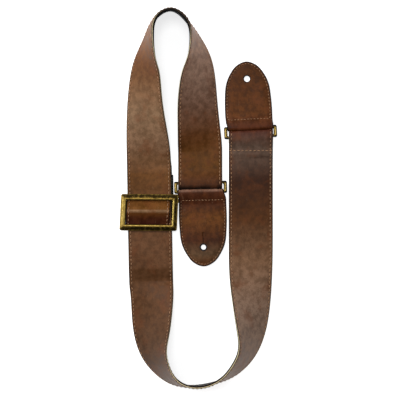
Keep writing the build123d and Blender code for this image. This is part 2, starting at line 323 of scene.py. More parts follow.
def turn_track(start, stations, end, start_dir, end_dir, rest, count=130):
    """Sections of a turn: a smooth curve through its stations with set end directions."""
    knots = np.array([start, *stations, end], float)
    knots[:, 2] *= 0.001
    places = lengths_along(knots)
    spans = np.diff(places)
    size = len(knots)
    matrix = np.zeros((size, size))
    right = np.zeros((size, 3))
    matrix[0, 0] = 1.0
    matrix[-1, -1] = 1.0
    right[0] = start_dir
    right[-1] = end_dir
    for i in range(1, size - 1):
        before, after = spans[i - 1], spans[i]
        matrix[i, i - 1] = after
        matrix[i, i] = 2 * (before + after)
        matrix[i, i + 1] = before
        slope_before = (knots[i] - knots[i - 1]) / before
        slope_after = (knots[i + 1] - knots[i]) / after
        right[i] = 3 * (after * slope_before + before * slope_after)
    slopes = np.linalg.solve(matrix, right)
    foot, across, normal = [], [], []
    for place_now in np.linspace(0.0, places[-1], count):
        i = min(int(np.searchsorted(places, place_now, side="right")) - 1, size - 2)
        span = spans[i]
        t = (place_now - places[i]) / span
        value = (
            (2 * t**3 - 3 * t**2 + 1) * knots[i]
            + (t**3 - 2 * t**2 + t) * span * slopes[i]
            + (3 * t**2 - 2 * t**3) * knots[i + 1]
            + (t**3 - t**2) * span * slopes[i + 1]
        )
        change = (
            (6 * t**2 - 6 * t) * knots[i] / span
            + (3 * t**2 - 4 * t + 1) * slopes[i]
            + (6 * t - 6 * t**2) * knots[i + 1] / span
            + (3 * t**2 - 2 * t) * slopes[i + 1]
        )
        forward = np.array([change[0], change[1], 0.0])
        forward /= np.linalg.norm(forward)
        inward = np.array([-forward[1], forward[0], 0.0])
        lean = math.radians(value[2] * 1000.0)
        side = inward * math.cos(lean) + np.array([0.0, 0.0, math.sin(lean)])
        foot.append((value[0], value[1], rest * math.cos(lean)))
        across.append(side)
        normal.append(np.cross(forward, side))
    return Track(foot, across, normal)


def limb_edge(lay, along, side):
    edge = lay.at(side * strap_width / 2, along)
    return (edge[0], edge[1], 0.0)


top_side = ring_z + interface_radius
under_side = ring_z - interface_radius


def over_bar(bar, far_height):
    """Side view of a run from its far end, up over the ring's bar and round it."""
    view = [(0.0, far_height)]
    if far_height < double_rest:
        view += ease((bar - 0.0260, far_height), (bar - 0.0195, double_rest))
    view += ease((bar - 0.0160, double_rest), (bar - 0.0005, top_side))
    view += arc((bar + ring_slack, ring_z), interface_radius, 90, -90)
    return view


def leather_tail(bar):
    return [(bar + ring_slack, under_side), (bar - leather_tail_length, under_side)]


def webbing_tail(bar, reach):
    ramp_down = ease((bar - 0.0075, under_side), (bar - 0.0125, 0.0))
    return [(bar + ring_slack, under_side), *ramp_down, (bar - reach, 0.0)]


left_view = [
    *reversed(ease((0.0447, 0.0038), (left_limb_high, double_rest))),
    *reversed(ease((0.0080, plateau), (0.0260, 0.0038))),
    *reversed(ease((left_limb_low, single_rest), (-0.0630, plateau))),
]
top_track = turn_track(
    limb_edge(centre_limb, 0.0, -1),
    top_turn,
    limb_edge(left_limb, left_limb_high, -1),
    -centre_limb.y_dir,
    -left_limb.y_dir,
    double_rest,
)
bottom_track = turn_track(
    limb_edge(left_limb, left_limb_low, -1),
    bottom_turn,
    limb_edge(right_limb, 0.0, 1),
    -left_limb.y_dir,
    right_limb.y_dir,
    single_rest,
)
left_track = limb_track(left_limb, left_view, -1)


def whole_strap(tail_b, tail_a):
    """The strap from its end under ring B to its end under ring A."""
    centre_view = [*over_bar(centre_limb_bar, double_rest), *tail_b]
    right_view = [*over_bar(right_limb_bar, single_rest), *tail_a]
    centre = limb_track(centre_limb, centre_view[::-1], -1, ring_b_tilt, centre_limb_bar)
    right = limb_track(right_limb, right_view, 1, ring_a_tilt, right_limb_bar)
    ends = []
    track = centre
    for part in (top_track, left_track, bottom_track, right):
        ends.append(track.along[-1])
        track = track.joined(part)
    return track, ends


leather_track, leather_ends = whole_strap(leather_tail(centre_limb_bar), leather_tail(right_limb_bar))
webbing_track, webbing_ends = whole_strap(
    webbing_tail(centre_limb_bar, 0.0140), webbing_tail(right_limb_bar, 0.0190)
)
strap_length = leather_track.along[-1]


def along_where(first, last, y):
    """Distance along the strap, between two distances, where its middle is at a given Y."""
    inside = (leather_track.along >= first) & (leather_track.along <= last)
    middle = leather_track.foot[:, 1] + leather_track.across[:, 1] * strap_width / 2
    return float(leather_track.along[inside][np.argmin(np.abs(middle[inside] - y))])


# ---------------------------------------------------------------- materials
def node(tree, kind, inputs=None, **settings):
    """A shader node with its inputs and settings."""
    made = tree.nodes.new(kind)
    for key, value in settings.items():
        setattr(made, key, value)
    set_inputs(tree, made, inputs or {})
    return made


def set_inputs(tree, made, inputs):
    """Sets a node's inputs, each to a value or from another node's output."""
    for key, value in inputs.items():
        if isinstance(value, bpy.types.NodeSocket):
            tree.links.new(value, made.inputs[key])
        else:
            made.inputs[key].default_value = value


def srgb(red, green, blue):
    """A colour given as 0-255 screen values, in the linear values that shaders use."""
    linear = []
    for value in (red, green, blue):
        share = value / 255.0
        linear.append(share / 12.92 if share <= 0.04045 else ((share + 0.055) / 1.055) ** 2.4)
    return (*linear, 1.0)


def tone(red, green, blue):
    """The leather colour that looks like the given screen values once lit, less its faint shine. Where those
    values hold sheen or shade, that light is painted into the colour.
    """
    shine, light = 0.015, 0.724
    return (*[max(0.003, (value - shine) / light) for value in srgb(red, green, blue)[:3]], 1.0)


def math_node(tree, operation, first, second=0.0):
    return node(tree, "ShaderNodeMath", {0: first, 1: second}, operation=operation).outputs[0]


def mask(tree, value, low, high, to_low=0.0, to_high=1.0):
    """A soft step of a value between low and high."""
    inputs = {"Value": value, "From Min": low, "From Max": high, "To Min": to_low, "To Max": to_high}
    return node(tree, "ShaderNodeMapRange", inputs, interpolation_type="SMOOTHSTEP").outputs[0]


def mix(tree, factor, first, second):
    return node(tree, "ShaderNodeMix", {0: factor, 6: first, 7: second}, data_type="RGBA").outputs[2]


def retoned(tree, colour, value, saturation=1.0):
    inputs = {"Color": colour, "Value": value, "Saturation": saturation}
    return node(tree, "ShaderNodeHueSaturation", inputs).outputs[0]


def noise(tree, vector, scale, detail=3.0, roughness=0.6, stretch=(1.0, 1.0, 1.0), shift=0.0):
    placement = {"Vector": vector, "Scale": stretch, "Location": (shift, shift, 0.0)}
    moved = node(tree, "ShaderNodeMapping", placement).outputs[0]
    inputs = {"Vector": moved, "Scale": scale, "Detail": detail, "Roughness": roughness}
    return node(tree, "ShaderNodeTexNoise", inputs).outputs[0]


def bump(tree, height, strength, distance, below=None):
    """A bump, on top of the one below if there is one."""
    inputs = {"Height": height, "Strength": strength, "Distance": distance}
    if below is not None:
        inputs["Normal"] = below
    return node(tree, "ShaderNodeBump", inputs).outputs[0]


def ramp(tree, factor, stops):
    """A colour ramp with (position, colour) stops."""
    made = node(tree, "ShaderNodeValToRGB", {0: factor})
    elements = made.color_ramp.elements
    while len(elements) < len(stops):
        elements.new(0.5)
    for element, (position, colour) in zip(elements, sorted(stops)):
        element.position = position
        element.color = colour
    return made.outputs[0]


def start_material(name):
    material = bpy.data.materials.new(name)
    material.use_nodes = True
    tree = material.node_tree
    tree.nodes.clear()
    shader = node(tree, "ShaderNodeBsdfPrincipled")
    node(tree, "ShaderNodeOutputMaterial", {0: shader.outputs[0]})
    return material, tree, shader


def strip_coordinates(tree):
    """The (along, across) coordinates in metres: as one vector, along alone and across alone."""
    uv = node(tree, "ShaderNodeUVMap", uv_map="along_across").outputs[0]
    parts = node(tree, "ShaderNodeSeparateXYZ", {0: uv}).outputs
    return uv, parts[0], parts[1]


def edge_attribute(tree):
    return node(tree, "ShaderNodeAttribute", attribute_name="edge_distance").outputs["Fac"]


def leather_material(name, tones, length, rim=0.0011, seed=0.0, inset=stitch_inset, shine=0.16, mottle=0.5):
    """Worn pull-up leather: cloudy tone, rubbed patches, dark edges, painted shade in the stitch groove and
    a fine grain.
    tones are (position, colour) stops over a length."""
    material, tree, shader = start_material(name)
    uv, along, _ = strip_coordinates(tree)
    base = ramp(tree, math_node(tree, "DIVIDE", along, length), tones)
    clouds = noise(tree, uv, 34.0, 4.0, 0.6, (0.7, 1.1, 1.0), seed)
    blotches = noise(tree, uv, 140.0, 4.0, 0.62, shift=seed + 3.1)
    flecks = noise(tree, uv, 620.0, shift=seed + 7.3)
    warm_patches = noise(tree, uv, 55.0, shift=seed + 17.0)
    scuffs = noise(tree, uv, 210.0, 5.0, 0.7, (0.35, 1.0, 1.0), seed + 11.0)
    darker = retoned(tree, base, 0.60, 1.06)
    lighter = retoned(tree, base, 1.42, 0.96)
    cloudy = mix(tree, mask(tree, clouds, 0.34, 0.66), darker, lighter)
    spotted = mix(tree, mask(tree, blotches, 0.36, 0.64), darker, lighter)
    base = mix(tree, 0.66, base, cloudy)
    base = mix(tree, mottle, base, spotted)
    base = mix(tree, mask(tree, warm_patches, 0.50, 0.72, 0.0, 0.9 * mottle), base, srgb(116, 62, 28))
    base = mix(tree, mask(tree, flecks, 0.52, 0.72, 0.0, 0.38), base, srgb(54, 32, 20))
    base = mix(tree, mask(tree, scuffs, 0.60, 0.74, 0.0, 0.30), base, srgb(150, 118, 90))
    # Darker within rim of the cut edge.
    wobble = math_node(tree, "MULTIPLY", blotches, 0.0006)
    edge = math_node(tree, "SUBTRACT", edge_attribute(tree), wobble)
    base = mix(tree, mask(tree, edge, rim * 0.25, rim, 1.0, 0.0), base, srgb(26, 15, 10))
    # Painted shade in the groove along the stitch rows.
    groove = math_node(tree, "ABSOLUTE", math_node(tree, "SUBTRACT", edge, inset - 0.0003))
    base = mix(tree, mask(tree, groove, 0.0002, 0.0012, 0.28, 0.0), base, srgb(40, 24, 14))
    pores = node(tree, "ShaderNodeTexVoronoi", {"Vector": uv, "Scale": 760.0}, feature="F1").outputs[0]
    creases = noise(tree, uv, 90.0, 4.0, 0.6, (1.0, 0.5, 1.0), seed)
    normal = bump(tree, creases, 0.28, 0.0012)
    normal = bump(tree, pores, 0.16, 0.00028, normal)
    normal = bump(tree, noise(tree, uv, 1500.0), 0.22, 0.00022, normal)
    gloss = mask(tree, blotches, 0.3, 0.7, 0.44, 0.60)
    look = {"Base Color": base, "Roughness": gloss, "Normal": normal, "Specular IOR Level": shine}
    set_inputs(tree, shader, look)
    return material


def raw_edge_material(name, colour, darkened_part=None):
    """The cut side of the leather: fibrous, tan, and darkened to a colour along a (from, to, colour) part of
    the strap.
    """
    material, tree, shader = start_material(name)
    uv, along, _ = strip_coordinates(tree)
    fibres = noise(tree, uv, 900.0, 4.0, 0.7, (0.5, 3.0, 1.0))
    patches = noise(tree, uv, 120.0)
    darker = retoned(tree, colour, 0.70)
    base = mix(tree, mask(tree, fibres, 0.35, 0.65), colour, darker)
    base = mix(tree, mask(tree, patches, 0.52, 0.72, 0.0, 0.5), base, darker)
    if darkened_part is not None:
        start, end, darkening_colour = darkened_part
        along = math_node(tree, "ADD", along, math_node(tree, "MULTIPLY", patches, 0.02))
        inside = mask(tree, along, start - 0.012, start + 0.012)
        beyond = mask(tree, along, end - 0.012, end + 0.012, 1.0, 0.0)
        base = mix(tree, math_node(tree, "MULTIPLY", inside, beyond), base, darkening_colour)
    look = {"Base Color": base, "Roughness": 0.82, "Normal": bump(tree, fibres, 0.5, 0.0003)}
    set_inputs(tree, shader, look)
    return material


def webbing_material(name):
    """Black woven webbing with ribs along it and a fine over-and-under weave."""
    material, tree, shader = start_material(name)
    uv, along, across = strip_coordinates(tree)
    warp = math_node(tree, "SINE", math_node(tree, "MULTIPLY", across, 2 * math.pi / 0.0018))
    diagonal = math_node(tree, "ADD", along, math_node(tree, "MULTIPLY", across, 0.5))
    weft = math_node(tree, "SINE", math_node(tree, "MULTIPLY", diagonal, 2 * math.pi / 0.0011))
    weave = math_node(tree, "MULTIPLY", math_node(tree, "MULTIPLY", warp, weft), 0.5)
    height = math_node(tree, "ADD", weave, math_node(tree, "ABSOLUTE", warp))
    fuzz = noise(tree, uv, 2600.0, 2.0)
    lint = noise(tree, uv, 160.0, 4.0, 0.65)
    # The weave's hollows are darker than its raised threads: painted shade.
    base = mix(tree, mask(tree, height, -0.2, 1.2), srgb(7, 7, 7), srgb(22, 21, 20))
    base = mix(tree, mask(tree, lint, 0.55, 0.75, 0.0, 0.3), base, srgb(36, 34, 31))
    normal = bump(tree, fuzz, 0.25, 0.00015, bump(tree, height, 0.7, 0.00018))
    look = {"Base Color": base, "Roughness": 0.72, "Normal": normal, "Specular IOR Level": 0.2}
    set_inputs(tree, shader, look)
    return material


def thread_material(name, colour):
    """Waxed thread, two plies twisted together."""
    material, tree, shader = start_material(name)
    uv, along, around = strip_coordinates(tree)
    along = math_node(tree, "MULTIPLY", along, 2 * math.pi / 0.0009)
    around = math_node(tree, "MULTIPLY", around, 2 * math.pi)
    twist = math_node(tree, "SINE", math_node(tree, "ADD", along, around))
    soil = noise(tree, uv, 90.0)
    # Darker in the grooves between the twisted plies: painted shade.
    base = mix(tree, mask(tree, twist, -0.9, 0.4), srgb(104, 72, 44), colour)
    base = mix(tree, mask(tree, soil, 0.45, 0.68, 0.0, 0.55), base, srgb(130, 92, 62))
    look = {"Base Color": base, "Roughness": 0.6, "Normal": bump(tree, twist, 0.5, 0.00012)}
    set_inputs(tree, shader, look)
    return material


def brass_material(name, colour, wear_and_highlight, shadow):
    """Antique brass: dark patina where edge_distance is low, rubbed bright where it is large. On the slide
    frame and rings edge_distance also carries painted highlight, reflection and shade, so the colours there
    stand partly for light.
    """
    material, tree, shader = start_material(name)
    uv, _, _ = strip_coordinates(tree)
    stain = noise(tree, uv, 260.0, 5.0, 0.65)
    specks = noise(tree, uv, 1300.0)
    streaks = noise(tree, uv, 420.0, stretch=(0.25, 2.0, 1.0))
    uneven = math_node(tree, "MULTIPLY", math_node(tree, "SUBTRACT", stain, 0.5), 1.1)
    level = math_node(tree, "ADD", edge_attribute(tree), uneven)
    base = mix(tree, mask(tree, level, 0.15, 0.55), shadow, colour)
    base = mix(tree, mask(tree, level, 0.55, 1.0), base, wear_and_highlight)
    base = mix(tree, mask(tree, specks, 0.55, 0.7, 0.0, 0.5), base, shadow)
    normal = bump(tree, specks, 0.16, 0.00012, bump(tree, streaks, 0.10, 0.0002))
    dullness = mask(tree, level, 0.1, 1.0, 0.55, 0.30)
    look = {"Base Color": base, "Roughness": dullness, "Normal": normal, "Metallic": 1.0}
    set_inputs(tree, shader, look)
    return material


def tone_stops(stops, length):
    """(position, colour) stops for a ramp, from (distance, screen values) over a length."""
    return [(distance / length, tone(*values)) for distance, values in stops]


# Leather tones, by distance along the leather: the leather's colour, with painted sheen in the greyish light
# stops and painted shade where the strap folds down round ring B and round ring A. The strap's own are
# placed by the Y of its middle, each within the stretch of the strap in which it lies.
centre_end, top_end, left_end, bottom_end = leather_ends
strap_stretches_with_sheen = [
    (0.02, centre_end, [(0.0380, (93, 62, 36))]),
    (centre_end, centre_end + 0.14, [
        (0.0730, (95, 61, 40)),
        (0.1076, (114, 85, 69)),
        (0.1420, (150, 118, 99)),
    ]),
    (centre_end + 0.14, top_end, [(0.2100, (104, 72, 46))]),
    (top_end - 0.16, top_end, [(0.1520, (95, 60, 28)), (0.0960, (115, 90, 68)), (0.0620, (117, 89, 68))]),
    (top_end, left_end, [(0.0270, (99, 66, 40)), (-0.0480, (97, 68, 49))]),
    (left_end, left_end + 0.14, [(-0.1230, (88, 61, 43)), (-0.1830, (80, 60, 47))]),
    (bottom_end - 0.14, bottom_end, [
        (-0.1740, (112, 90, 75)),
        (-0.1300, (133, 108, 91)),
        (-0.0710, (118, 88, 66)),
    ]),
    (bottom_end, strap_length - 0.03, [
        (-0.0250, (81, 53, 36)),
        (0.0210, (62, 43, 31)),
        (0.0600, (97, 79, 68)),
    ]),
]
# Near black up to where the strap folds down round ring B: painted shade.
strap_tones_and_painted_light = [(0.0, (28, 17, 11)), (0.0188, (28, 17, 11)), (0.0212, (84, 52, 28))]
for first, last, spots in strap_stretches_with_sheen:
    strap_tones_and_painted_light += [(along_where(first, last, y), values) for y, values in spots]
# Darker where the strap folds round ring A: painted shade.
strap_tones_and_painted_light += [(strap_length - 0.014, (74, 42, 28)), (strap_length, (70, 42, 24))]
hump_length = 0.0322
# Darker on the crest's lower slope, painted shade, with a painted highlight along the crest near 0.56.
hump_tones_shade_and_highlight = [
    (0.00, (60, 39, 18)),
    (0.30, (66, 43, 20)),
    (0.46, (84, 54, 32)),
    (0.56, (134, 104, 78)),
    (0.62, (106, 71, 42)),
    (1.00, (97, 62, 34)),
]
tab_tones_and_highlights = {
    "a": [
        (0.000, (78, 48, 24)),
        (0.019, (80, 48, 28)),
        (0.034, (90, 56, 24)),
        (0.060, (86, 54, 26)),
        (0.090, (80, 52, 30)),
    ],
    # Tab B: painted shade just before its fold, a painted highlight on the fold and painted sheen near the
    # tip.
    "b": [
        (0.0152, (46, 30, 22)),
        (0.0166, (128, 96, 80)),
        (0.0180, (74, 46, 32)),
        (0.0320, (74, 46, 28)),
        (0.0480, (97, 61, 22)),
        (0.0740, (72, 46, 32)),
        (0.0900, (92, 70, 52)),
        (0.1000, (84, 56, 38)),
    ],
}
tab_seeds = {"a": 9.0, "b": 13.0}
strap_grain = leather_material("strap_leather_grain", tone_stops(strap_tones_and_painted_light, strap_length), strap_length)
hump_grain = leather_material(
    "slide_leather_grain", tone_stops(hump_tones_shade_and_highlight, 1.0), hump_length, seed=4.0, shine=0.06
)
tab_grains = {}
for letter, tones in tab_tones_and_highlights.items():
    tab_grains[letter] = leather_material(
        "tab_" + letter + "_grain",
        tone_stops(tones, tab_tone_length),
        tab_tone_length,
        rim=0.0013,
        seed=tab_seeds[letter],
        inset=tab_stitch_inset,
        mottle=0.72,
    )
# The strap's cut edge is darkened to near black along the top of the top turn.
darkened_from = along_where(centre_end, centre_end + 0.16, 0.1960)
darkened_to = along_where(top_end - 0.20, top_end, 0.1960)
strap_raw = raw_edge_material("strap_cut_edge", srgb(228, 210, 166), (darkened_from, darkened_to, srgb(16, 11, 8)))
tab_rim = raw_edge_material("tab_painted_edge", srgb(38, 22, 15))
flesh = raw_edge_material("leather_flesh_side", srgb(134, 104, 72))
webbing_black = webbing_material("black_webbing")
thread_tan = thread_material("tan_thread", srgb(214, 162, 120))
thread_dark = thread_material("black_thread", srgb(36, 34, 32))
slide_brass = brass_material("slide_antique_brass", srgb(150, 122, 58), srgb(196, 170, 92), srgb(46, 36, 16))
ring_brass = brass_material("ring_antique_brass", srgb(128, 104, 50), srgb(200, 170, 92), srgb(28, 22, 12))


# ---------------------------------------------------------------- strips of leather and webbing
def half_profile(width):
    """Distances from one edge to the middle: close together at the edge, wide in the middle."""
    near = [0.0, 0.00006, 0.00022, 0.0006, 0.0012, 0.0020, 0.0026, 0.0030, 0.0034, 0.0040]
    return near + list(np.linspace(0.0065, width / 2, 7))


def face_drop(distance, corner, groove):
    """How far a strip's face lies low: at its rounded edge and in the groove under its stitches."""
    rounding = corner * (1 - np.clip(distance / 0.0006, 0.0, 1.0)) ** 2
    return rounding + groove * np.exp(-(((distance - stitch_inset) / 0.0006) ** 2))


def strip_profile(width, low, high, corner=0.0004, groove=0.0, crown=0.0):
    """Closed outline of a strip: (across, out) points, top first, then the bottom, and the number on top."""
    half = half_profile(width)
    tops = []
    for distance in half:
        swell = crown * min(1.0, distance / 0.006)
        tops.append((distance, high - face_drop(distance, corner, groove) + swell))
    top = tops + [(width - distance, height) for distance, height in reversed(tops[:-1])]
    bottoms = [(half[0], low + corner * 0.6), (half[2], low + corner * 0.1), (half[4], low)]
    bottoms += [(distance, low) for distance in half[8::3]]
    bottom = bottoms + [(width - distance, height) for distance, height in reversed(bottoms)]
    return np.array(top + bottom[::-1]), len(top)


def strip_piece(name, track, profile, materials, shift=0.0, narrow=0.0, upright_swell=0.0):
    """A strip swept along a track. materials are (top, cut sides, underside).
    shift moves it across and narrow draws both its edges in: each may change along the strip.
    upright_swell makes the underside fuller where the strap stands on its edge."""
    outline, top_count = profile
    side, height = outline.T
    count, total = len(outline), len(track.along)
    width = side.max()
    shift, narrow = (np.broadcast_to(value, (total,))[:, None] for value in (shift, narrow))
    across = side + shift - (side - width / 2) / (width / 2) * narrow
    upright = np.clip(track.across[:, 2:], 0.0, 1.0)
    out = height - (height < -0.5 * webbing_thickness) * upright_swell * upright
    points = track.points(np.repeat(track.along, count), across.ravel(), out.ravel())
    distance = np.minimum(side, width - side)
    face_index = []
    for j in range(count):
        cut_side = j in (top_count - 1, count - 1) or max(distance[j], distance[j + 1]) < 0.0001
        face_index.append(1 if cut_side else (0 if j < top_count else 2))
    faces = grid_faces(total, count, closed_columns=True)
    faces += [tuple(range(count)), tuple(range((total - 1) * count, total * count))]
    face_index = face_index * (total - 1) + [1, 1]
    across_uv = side.copy()
    across_uv[top_count:] = -0.01 - across_uv[top_count:]
    uvs = np.stack([np.repeat(track.along, count), np.tile(across_uv, total)], axis=1)
    return add_piece(name, points, faces, materials, face_index, uvs, np.tile(distance, total))


def set_back(track):
    """How far the webbing's edges are drawn in: it stays behind the leather's edge along two stretches,
    down the left side of the top turn and into the bottom turn."""
    standing = smooth_step(track.across[:, 2], 0.05, 0.25)
    middle = track.foot[:, 1] + track.across[:, 1] * strap_width / 2
    upper = standing * (1.0 - smooth_step(middle, 0.193, 0.203)) * smooth_step(middle, 0.080, 0.100)
    lower = standing * (middle < 0) * (1.0 - smooth_step(track.foot[:, 0], -0.032, -0.020))
    return webbing_set_back * np.maximum(upper, lower)


leather_profile = strip_profile(strap_width, 0.0, leather_thickness, 0.0005, groove=0.00016, crown=0.00006)
strap_leather = strip_piece("strap_leather", leather_track, leather_profile, [strap_grain, strap_raw, flesh])
place(strap_leather, "strap", "strap_leather", "leather_face")

all_webbing = [webbing_black] * 3
backing = strip_piece(
    "strap_backing_webbing",
    webbing_track,
    strip_profile(strap_width - backing_margin, -webbing_thickness, 0.0),
    all_webbing,
    narrow=set_back(webbing_track),
    upright_swell=0.0005,
)
place(backing, "strap", "webbing", "backing_webbing")

# The return webbing runs back from under ring B along the inside of the top turn.
return_view = [(centre_limb_bar - 0.0140, double_rest), (0.0, double_rest)]
return_stop_view = [(left_limb_high, double_rest), (0.0520, double_rest)]
return_track = limb_track(centre_limb, return_view, -1).joined(top_track)
return_track = return_track.joined(limb_track(left_limb, return_stop_view, -1))
return_length = return_track.along[-1]
return_top = -webbing_thickness - layer_gap
return_piece = strip_piece(
    "return_webbing_strip",
    return_track,
    strip_profile(strap_width - return_margin, return_top - webbing_thickness, return_top),
    all_webbing,
    shift=0.0046 * smooth_step(return_track.along, return_length - 0.036, return_length + 0.030),
    narrow=set_back(return_track),
)
place(return_piece, "strap", "webbing", "return_webbing")


# ---------------------------------------------------------------- stitches
def stitch_mesh(name, row, length, radius, rise, material=thread_tan):
    """Single stitches, each a short bow of thread whose ends go down into the leather.
    row holds their centres, directions and normals."""
    rings, sides = 7, 6
    t = np.linspace(-1.0, 1.0, rings)
    bow = rise * (1 - t**2) - 0.0005 * t**4
    thin = radius * (1 - 0.35 * t**4)
    around = np.linspace(0.0, 2 * math.pi, sides, endpoint=False)
    points, faces, uvs = [], [], []
    ring_faces = grid_faces(rings, sides, closed_columns=True)
    block = rings * sides
    for number, (centre, forward, normal) in enumerate(zip(*row)):
        side = np.cross(forward, normal)
        for i in range(rings):
            middle = centre + forward * t[i] * length / 2 + normal * bow[i]
            for angle in around:
                points.append(middle + thin[i] * (side * math.cos(angle) + normal * math.sin(angle)))
                uvs.append((number * 0.005 + t[i] * length / 2, angle / (2 * math.pi)))
        first = number * block
        faces += [tuple(first + index for index in face) for face in ring_faces]
        faces.append(tuple(range(first, first + sides)))
        faces.append(tuple(range(first + block - sides, first + block)))
    return add_piece(name, points, faces, [material], uvs=uvs)


def strap_row(across, out, first, last):
    """Centres, directions and normals of stitches along the strap at a distance across it."""
    count = int((last - first) / strap_stitch_pitch)
    along = first + (np.arange(count) + 0.5) * (last - first) / count
    width = np.full(count, across)
    height = np.full(count, out)
    centres = leather_track.points(along, width, height)
    ahead = leather_track.points(along + 0.0008, width, height)
    behind = leather_track.points(along - 0.0008, width, height)
    raised = leather_track.points(along, width, height + 0.001)
    normals = (raised - centres) / 0.001
    return centres, unit(ahead - behind), normals if out > 0 else -normals


row_start = 0.0195
row_end = strap_length - 0.0125
row_height = leather_thickness - 0.00010
back_row_start = top_end + 0.16
back_row_end = bottom_end + 0.06
back_stitch_lowest = 0.00072
for side_name, across in (("outer", stitch_inset), ("inner", strap_width - stitch_inset)):
    face_side = strap_row(across, row_height, row_start, row_end)
    back_side = strap_row(across, -webbing_thickness, back_row_start, back_row_end)
    back_side[0][:, 2] = np.maximum(back_side[0][:, 2], back_stitch_lowest)
    both_sides = [np.vstack(pair) for pair in zip(face_side, back_side)]
    row = stitch_mesh(
        "strap_stitches_" + side_name, both_sides, strap_stitch, strap_thread, strap_stitch_rise
    )
    place(row, "strap", "thread", "edge_stitching_" + side_name)

# stitches across the strap that hold its end folded round ring A
cross_from_bar = 0.0167
folded_length = leather_tail_length + 2 * ring_slack + math.pi * interface_radius
cross_count = 11
cross_across = (np.arange(cross_count) + 0.5) * strap_width / cross_count
cross_along = np.full(cross_count, strap_length - folded_length - cross_from_bar)
cross_centres = leather_track.points(cross_along, cross_across, leather_thickness - 0.00005)
cross_forwards = [-right_limb.x_dir] * cross_count
cross_normals = [up] * cross_count
cross_stitches = (cross_centres, cross_forwards, cross_normals)
cross_row = stitch_mesh("ring_a_cross_stitches", cross_stitches, 0.0037, 0.00045, 0.00036)
place(cross_row, "strap", "thread", "ring_a_cross_stitching")


# ---------------------------------------------------------------- rings
def rounded_outline(length, height, radius, corner_steps=7, side_steps=(10, 3)):
    """Points round a rectangle with round corners, starting at the right-hand side."""
    points = []
    half_x = length / 2 - radius
    half_y = height / 2 - radius
    corners = [(half_x, half_y, 0), (-half_x, half_y, 90), (-half_x, -half_y, 180), (half_x, -half_y, 270)]
    for number, (x, y, first) in enumerate(corners):
        for angle in np.radians(np.linspace(first, first + 90, corner_steps + 1)):
            points.append((x + radius * math.cos(angle), y + radius * math.sin(angle)))
        start = points[-1]
        next_x, next_y, next_first = corners[(number + 1) % 4]
        turn = math.radians(next_first)
        end = (next_x + radius * math.cos(turn), next_y + radius * math.sin(turn))
        steps = side_steps[number % 2]
        for i in range(1, steps):
            share = i / steps
            points.append((start[0] + (end[0] - start[0]) * share, start[1] + (end[1] - start[1]) * share))
    return np.array(points)


def loop_piece(name, lay, outer, inner, section, wear_and_light, material):
    """A closed frame. section gives (share from outer to inner, height) points.
    The last argument gives, for each section point, how bright it is painted: wear together with painted
    highlight and shade."""
    points, uvs, edge = [], [], []
    lengths = np.linalg.norm(np.diff(outer, axis=0, append=outer[:1]), axis=1)
    along = np.concatenate([[0.0], np.cumsum(lengths)[:-1]])
    for place_now, far, near in zip(along, outer, inner):
        for number, (share, height) in enumerate(section):
            spot = far + (near - far) * share
            points.append(lay.at(spot[0], spot[1], height))
            uvs.append((place_now, number * 0.0008))
            edge.append(wear_and_light(number, *spot))
    faces = grid_faces(len(outer), len(section), closed_rows=True, closed_columns=True)
    return add_piece(name, points, faces, [material], uvs=uvs, edge=edge)


def ring_piece(name, lay):
    """A ring of round wire, a little flattened at its two short ends."""
    outer = rounded_outline(ring_length, ring_height, 0.0020)
    inner = rounded_outline(ring_window_length, ring_height - 2 * ring_wire, 0.0015)
    angles = np.linspace(0.0, 2 * math.pi, 14, endpoint=False)
    section = [(0.5 - 0.5 * math.cos(a), ring_z + ring_wire / 2 * math.sin(a)) for a in angles]

    # Brighter on the wire's upper side, a painted highlight, and darker along the long bars and round the
    # corners, painted shade.
    def wear_and_light(number, x, y):
        upward = max(0.0, math.sin(angles[number])) ** 2
        corner = float(smooth_step(abs(y), 0.0036, 0.0062))
        return (0.25 + 0.60 * upward) * (1 - 0.85 * corner)

    return loop_piece(name, lay, outer, inner, section, wear_and_light, ring_brass)


for ring_body, lay in (("ring_a", ring_a_plane), ("ring_b", ring_b_plane)):
    place(ring_piece("brass_" + ring_body, lay), ring_body, "antique_brass", ring_body)


# ---------------------------------------------------------------- end tabs
def tab_half_widths(length, fullness):
    """Right half of a tab's outline from its neck to its tip: (distance from the ring, half width)."""
    return [
        (0.0083, 0.0264 * fullness),
        (length - 0.058, 0.0268 * fullness),
        (length - 0.043, 0.0263 * fullness),
        (length - 0.028, 0.0247 * fullness),
        (length - 0.016, 0.0206),
        (length - 0.005, 0.0122),
        (length, 0.0),
    ]


def smooth_curve(points, count):
    """A smooth curve through points as evenly spaced samples of a centripetal spline."""
    knots = np.array(points, float)
    padded = np.vstack([2 * knots[0] - knots[1], knots, 2 * knots[-1] - knots[-2]])
    samples = []
    for i in range(1, len(padded) - 2):
        before, start, end, after = padded[i - 1 : i + 3]
        for t in np.linspace(0.0, 1.0, 30, endpoint=False):
            samples.append(
                0.5
                * (
                    2 * start
                    + (end - before) * t
                    + (2 * before - 5 * start + 4 * end - after) * t**2
                    + (3 * start - before - 3 * end + after) * t**3
                )
            )
    samples.append(knots[-1])
    samples = np.array(samples)
    lengths = lengths_along(samples)
    return sample(samples, lengths, np.linspace(0.0, lengths[-1], count))


